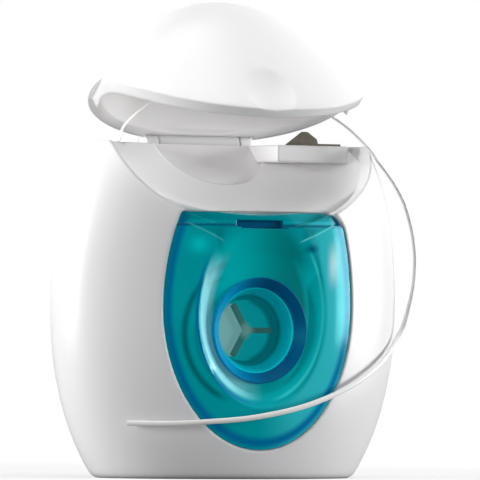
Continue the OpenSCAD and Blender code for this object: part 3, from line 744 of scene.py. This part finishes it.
def makeBody():
    body = outerSkin("bodyShell")
    hollow = skinStack("hollow", barrel["floorThick"], barrel["deck"] - barrel["deckThick"],
                       barrel["wall"], 48)
    combine(hollow, scoopTool(barrel["wall"]))
    combine(hollow, pocketTool(barrel["wall"]))
    combine(hollow, hingeRod("troughWall", hinge["trough"] + barrel["wall"], -far, far))
    combine(body, hollow)
    dip = scoopTool(0)
    combine(dip, pocketTool(0), "UNION")
    combine(dip, block("boss", (boss["left"], -boss["front"], barrel["deck"] - boss["height"]),
                       (boss["right"], far, 2 * far)))
    combine(body, dip)
    combine(body, drawPrism("frontHole", insertOutline(0), -far, -insert["back"]))
    combine(body, drawPrism("rearHole", coverOutline(-cover["step"]), insert["back"], far))
    step = drawPrism("rearStep", coverOutline(0), insert["back"], far)
    combine(step, skinStack("stepSkin", 1, barrel["deck"], cover["skin"] + 0.03))
    combine(body, step)
    combine(body, rod("outlet", outlet["radius"], (outlet["x"], outlet["y"], barrel["deck"] - 3),
                      (outlet["x"], outlet["y"], far + 9)))
    reach = hinge["half"] + hinge["gap"] + hinge["ear"] + hinge["gap"]
    combine(body, hingeRod("trough", hinge["trough"], -reach, reach))
    for side in (-1, 1):
        start, end = (side * (hinge["half"] + hinge["gap"] + more) for more in (0, hinge["ear"]))
        ear = hingeRod("ear", hinge["barrel"], start, end)
        foot = block("foot", (min(start, end), hinge["y"] - hinge["barrel"], hinge["z"] - hinge["foot"]),
                     (max(start, end), hinge["y"] + hinge["barrel"], hinge["z"]))
        combine(ear, foot, "UNION")
        combine(body, ear, "UNION")
    markPaintedGlow(body, 0.45)
    return dress(body, bodyWhite, "case", "barrel", "body_shell")


makeBody()
print("body made")

# lid
lid = {"thick": 1.5, "gap": 0.12, "open": 40, "low": 27.6, "dentHeight": 33.4, "dentRadius": 14,
       "dentDepth": 0.55, "latchHalf": 2.9, "latchHeight": 0.5, "latchBite": 0.17, "latchSink": 0.4,
       "webFront": 2.3, "webBack": 0.9, "webLow": 0.3, "webHigh": 0.9}


def latchHeight():
    return scoop["lipTop"] - scoop["lipDrop"] + scoop["latchRise"]


def domeStack(name, low, inset):
    tall = barrel["above"] - inset
    start = math.asin((low - barrel["belly"]) / tall)
    end = math.radians(89.6)
    turns = [start + (end - start) * k / 80 for k in range(81)]
    return stackSections(name, [sectionAt(barrel["belly"] + tall * math.sin(t), inset) for t in turns])


def makeLid():
    dome = domeStack("lidShell", lid["low"], 0)
    keep = block("above", (-far, -far, barrel["deck"] + lid["gap"]), (far, far, 2 * far))
    combine(keep, drawPrism("lipKeep", lipOutline(-lid["gap"]), -2 * far, 0), "UNION")
    combine(dome, keep, "INTERSECT")
    combine(dome, domeStack("inside", lid["low"] - 1, lid["thick"]))
    reach = hinge["half"] + hinge["gap"] + hinge["ear"] + hinge["gap"]
    combine(dome, hingeRod("trough", hinge["trough"], -reach, reach))
    bar = hingeRod("bar", hinge["barrel"], -hinge["half"], hinge["half"])
    pinReach = hinge["half"] + hinge["gap"] + hinge["ear"] - hinge["pinEnd"]
    combine(bar, hingeRod("pin", hinge["pin"], -pinReach, pinReach), "UNION")
    web = block("web", (-hinge["half"], hinge["y"] - lid["webFront"], hinge["z"] + lid["webLow"]),
                (hinge["half"], hinge["y"] + lid["webBack"], hinge["z"] + hinge["trough"] + lid["webHigh"]))
    combine(web, domeStack("trim", lid["low"], -0.2), "INTERSECT")
    combine(bar, web, "UNION")
    combine(dome, bar, "UNION")
    deselect()
    radius = lid["dentRadius"]
    middle = (0, frontAt(0, lid["dentHeight"]) - radius + lid["dentDepth"], lid["dentHeight"])
    bpy.ops.mesh.primitive_uv_sphere_add(segments=192, ring_count=96, radius=radius * mm,
                                         location=Vector(middle) * mm)
    bpy.ops.object.transform_apply(location=True, rotation=True, scale=True)
    combine(dome, bpy.context.object)
    high, inner = latchHeight(), frontAt(0, latchHeight(), lid["thick"])
    combine(dome, block("latch", (-lid["latchHalf"], inner - lid["latchSink"], high - lid["latchHeight"] / 2),
                        (lid["latchHalf"], inner + lid["latchBite"], high + lid["latchHeight"] / 2)), "UNION")
    markPaintedGlow(dome, 0.6, 1.3)
    swing = Matrix.Translation((0, hinge["y"] * mm, hinge["z"] * mm))
    dome.data.transform(swing @ Matrix.Rotation(math.radians(-lid["open"]), 4, "X") @ swing.inverted())
    return dress(dome, lidWhite, "lid", "lid", "lid")


makeLid()
print("lid made")


# teal insert, hub and spool
def dishRing(wide, drop, top):
    # the dish's outline, round below and drawn in to its upper corners
    turn = math.radians(dish["corner"])
    lower = [(wide * math.cos(t), drop * math.sin(t)) for t in lowerHalf]
    upper = [(wide * math.cos(t), top * math.sin(t) / math.sin(turn))
             for t in (turn * i / 16 for i in range(1, 17))]
    ring = lower + upper + [(-x, z) for x, z in reversed(upper)]
    return [(x, dish["middle"] + z) for x, z in ring]


def dishTool():
    # drawn out to the front and widened there, so that the dish has sloping sides and a long ramp above
    drop, top = dish["middle"] - dish["low"], dish["top"] - dish["middle"]
    inner = dishRing(dish["half"] - dish["slope"], drop - dish["slope"], top - dish["ramp"])
    outer = dishRing(dish["half"] + dish["slope"], drop + dish["slope"], top + dish["ramp"])
    back = frontAt(dish["half"], dish["middle"], insert["inset"]) + dish["depth"]
    tool = drawPrism("dish", inner, back, back - 2 * dish["depth"])
    for vertex in tool.data.vertices:
        if vertex.co.y < (back - dish["depth"]) * mm:
            place = (vertex.co.x / mm, vertex.co.z / mm)
            match = min(range(len(inner)), key=lambda i: math.dist(inner[i], place))
            vertex.co.x, vertex.co.z = (c * mm for c in outer[match])
    return combine(tool, skinStack("dishSkin", 0.5, barrel["deck"] + 1, insert["inset"] + dish["depth"]))


hub = {"radius": 6.5, "hole": 6.4, "edge": 0.1, "proud": 0.15, "coneDeep": 1.15, "throat": 5.9, "root": 7.4,
       "past": 0.2}


def makeInsert():
    teal = skinStack("tealShell", 1, barrel["deck"], insert["inset"])
    combine(teal, drawPrism("outline", insertOutline(-insert["fit"]), -far, -insert["back"]), "INTERSECT")
    inner = insert["inset"] + insert["thick"] + dish["depth"]
    combine(teal, skinStack("tealInside", 0.5, barrel["deck"] + 1, inner))
    combine(teal, dishTool())
    ledge = block("ledge", (-far, -far, insert["ledge"]), (far, 0, far))
    combine(ledge, skinStack("ledgeSkin", 0.5, barrel["deck"] + 1, insert["inset"] + insert["ledgeDepth"]))
    combine(teal, ledge)
    combine(teal, scoopTool(0))
    high = latchHeight()
    depth = frontAt(0, high, scoop["seat"] + insert["slotDeep"])
    combine(teal, block("slot", (-insert["slotHalf"], -far, high - insert["slotHeight"] / 2),
                        (insert["slotHalf"], depth, high + insert["slotHeight"] / 2)))
    combine(teal, rod("axle", hub["hole"], (0, -far, spool["axis"]), (0, 0, spool["axis"])))
    dress(teal, tealInsert, "case", "insert", "window")
    front = -frontAt(0, spool["axis"], insert["inset"] + dish["depth"]) + hub["proud"]
    edge, outer = hub["edge"], hub["radius"]
    ring = [(spool["tubeBore"], spool["back"] - hub["past"]), (spool["tubeBore"], hub["throat"]),
            (spool["tube"], front - hub["coneDeep"]), (outer - 2 * edge, front - edge),
            (outer - 1.5 * edge, front), (outer - 0.5 * edge, front), (outer, front - edge),
            (outer, hub["root"]), (spool["tube"], hub["root"] - 0.2),
            (spool["tube"], spool["back"] - hub["past"])]
    dress(turnProfile("hubTube", ring), tealHub, "case", "insert")


def makeSpool():
    front, back, edge = spool["front"], spool["back"], spool["edge"]
    outer, inner, thick = spool["flangeRadius"], spool["core"], spool["flange"]
    wheel = turnProfile("spoolBody", [
        (spool["bore"], back), (outer - edge, back), (outer, back + edge), (outer, back + thick - edge),
        (outer - edge, back + thick), (inner, back + thick), (inner, front - thick),
        (outer - edge, front - thick), (outer, front - thick + edge), (outer, front - edge),
        (outer - edge, front), (spool["bore"], front)])
    dress(wheel, spoolGreen, "spool", "spool", "spool")
    touch = spool["touch"]
    first, last = back + thick + touch, front - thick - touch
    bulk = turnProfile("woundCore", [(inner + touch, first), (spool["wound"], first), (spool["wound"], last),
                                     (inner + touch, last)])
    dress(bulk, flossWhite, "spool", "floss", "floss_core")
    rings = 64
    radius = spool["wound"] + spool["loopLift"]
    line = []
    for k in range(spool["loops"] * rings + 1):
        turn = math.tau * k / rings
        line.append(Vector((radius * math.cos(turn), -last + floss["loop"] / 2 + spool["pitch"] * k / rings,
                            spool["axis"] + radius * math.sin(turn))) * mm)
    loops = tape("woundLoops", line, floss["loop"], floss["loop"], 8, lambda s: 0)
    dress(loops, flossWhite, "spool", "floss", "floss_winding", smooth=60)


post = {"disc": 3.75, "discFront": 5.1, "discBack": 4.5, "ribFront": 5.7, "ribHalf": 0.35, "ribReach": 3.6}


def makeRear():
    plate = skinStack("backPlate", 1, barrel["deck"], 0)
    combine(plate, drawPrism("outline", coverOutline(-insert["fit"]), insert["back"], far), "INTERSECT")
    combine(plate, skinStack("plateInside", 0.5, barrel["deck"] + 1, barrel["wall"] + 0.3))
    rim = drawPrism("rim", coverOutline(3), insert["back"] - 1, far)
    combine(rim, drawPrism("rimHole", coverOutline(-cover["step"] - insert["fit"]), 0, 2 * far))
    combine(rim, skinStack("rimSkin", 0.5, barrel["deck"] + 1, cover["skin"]), "INTERSECT")
    combine(plate, rim)
    dress(plate, bodyWhite, "case", "barrel", "rear_cover")
    base = backAt(0, spool["axis"], barrel["wall"] + 0.3)
    axis = spool["axis"]
    piece = rod("ribPost", spool["tubeBore"] - 0.12, (0, base - 0.7, axis), (0, base + 0.4, axis))
    combine(piece, rod("postDisc", post["disc"], (0, -post["discFront"], axis), (0, -post["discBack"], axis)),
            "UNION")
    for turn in (0, 120, 240):
        rib = block("rib", (0, -post["ribFront"], -post["ribHalf"]),
                    (post["ribReach"], base, post["ribHalf"]))
        lay = Matrix.Translation((0, 0, axis * mm)) @ Matrix.Rotation(math.radians(-turn), 4, "Y")
        rib.data.transform(lay)
        combine(piece, rib, "UNION")
    bevelEdges(piece, 0.12, 2)
    dress(piece, postSeen, "case", "barrel")


makeInsert()
makeSpool()
makeRear()
print("insert, spool and rear made")

# cutter
blade = {"left": 9.3, "width": 5.8, "depth": 3.6, "set": 0.2, "steel": 0.25, "toothWidth": 4.6,
         "toothHeight": 1.8, "tooth": [(0, 0), (1, 0), (0.94, 0.5), (0.65, 1), (0.49, 1), (0.02, 0.14)],
         "edge": 0.06}


def makeCutter():
    left, front, deck = blade["left"], blade["set"] - boss["front"], barrel["deck"]
    back = front + blade["depth"]
    plate = block("cutterBlade", (left, front, deck), (left + blade["width"], back, deck + blade["steel"]))
    tooth = [(left + blade["toothWidth"] * x, deck + blade["toothHeight"] * z) for x, z in blade["tooth"]]
    combine(plate, drawPrism("tooth", tooth, back - blade["steel"], back), "UNION")
    bevelEdges(plate, blade["edge"], 2)
    dress(plate, steelDark, "case", "steel", "cutter")


makeCutter()
print("cutter made")


# studio
def softBox(name, place, size, power, aim=(0, 0, 0.025)):
    lamp = bpy.data.lights.new(name, "AREA")
    lamp.shape = "RECTANGLE"
    lamp.size, lamp.size_y = size
    lamp.energy = power
    box = bpy.data.objects.new(name, lamp)
    bpy.context.scene.collection.objects.link(box)
    box.location = place
    box.rotation_mode = "QUATERNION"
    box.rotation_quaternion = (Vector(aim) - Vector(place)).to_track_quat("-Z", "Y")


def makeStudio():
    deselect()
    bpy.ops.mesh.primitive_plane_add(size=3)
    ground = bpy.context.object
    ground.name = "ground"
    material, wire = blank("paleFloor")
    seen = wire.node("LightPath", out=0)
    reach = wire.node("VectorMath", {"operation": "LENGTH"}, {0: wire.node("TexCoord", out=3)}, out=1)
    pale = mix(wire, noise(wire, 40), (0.78, 0.78, 0.78, 1), (0.82, 0.82, 0.82, 1))
    plain = wire.node("BsdfDiffuse", inputs={"Color": mix(wire, seen, (0.18, 0.18, 0.18, 1), pale)})
    white = wire.node("Emission", inputs={"Color": (1, 1, 1, 1), "Strength": 1.08})
    share = 0.62 + 0.38 * step(wire, reach, 0.04, 0.16)
    both = wire.node("MixShader", inputs={0: seen * share, 1: plain, 2: white})
    wire.node("OutputMaterial", inputs={"Surface": both})
    ground.data.materials.append(material)
    world = bpy.data.worlds.new("studio")
    world.use_nodes = True
    world.node_tree.nodes.clear()
    wire = Wire(world.node_tree)
    # the white backdrop is seen by the camera, in gloss and through clear plastic
    seen = wire.maths("MAXIMUM", wire.node("LightPath", out=0), wire.node("LightPath", out=3))
    seen = wire.maths("MAXIMUM", seen, wire.node("LightPath", out=6))
    strength = 0.07 + 0.93 * seen
    backdrop = wire.node("Background", inputs={"Color": (1, 1, 1, 1), "Strength": strength})
    wire.node("OutputWorld", inputs={"Surface": backdrop})
    bpy.context.scene.world = world
    bpy.context.scene.view_settings.view_transform = "Standard"
    softBox("leftSoft", (-0.65, 0.0, 0.11), (0.35, 0.22), 4.5)
    softBox("rightSoft", (0.595, -0.235, 0.11), (0.3, 0.22), 4.2)
    softBox("topSoft", (0, -0.10, 0.67), (0.45, 0.45), 2.6)


makeStudio()
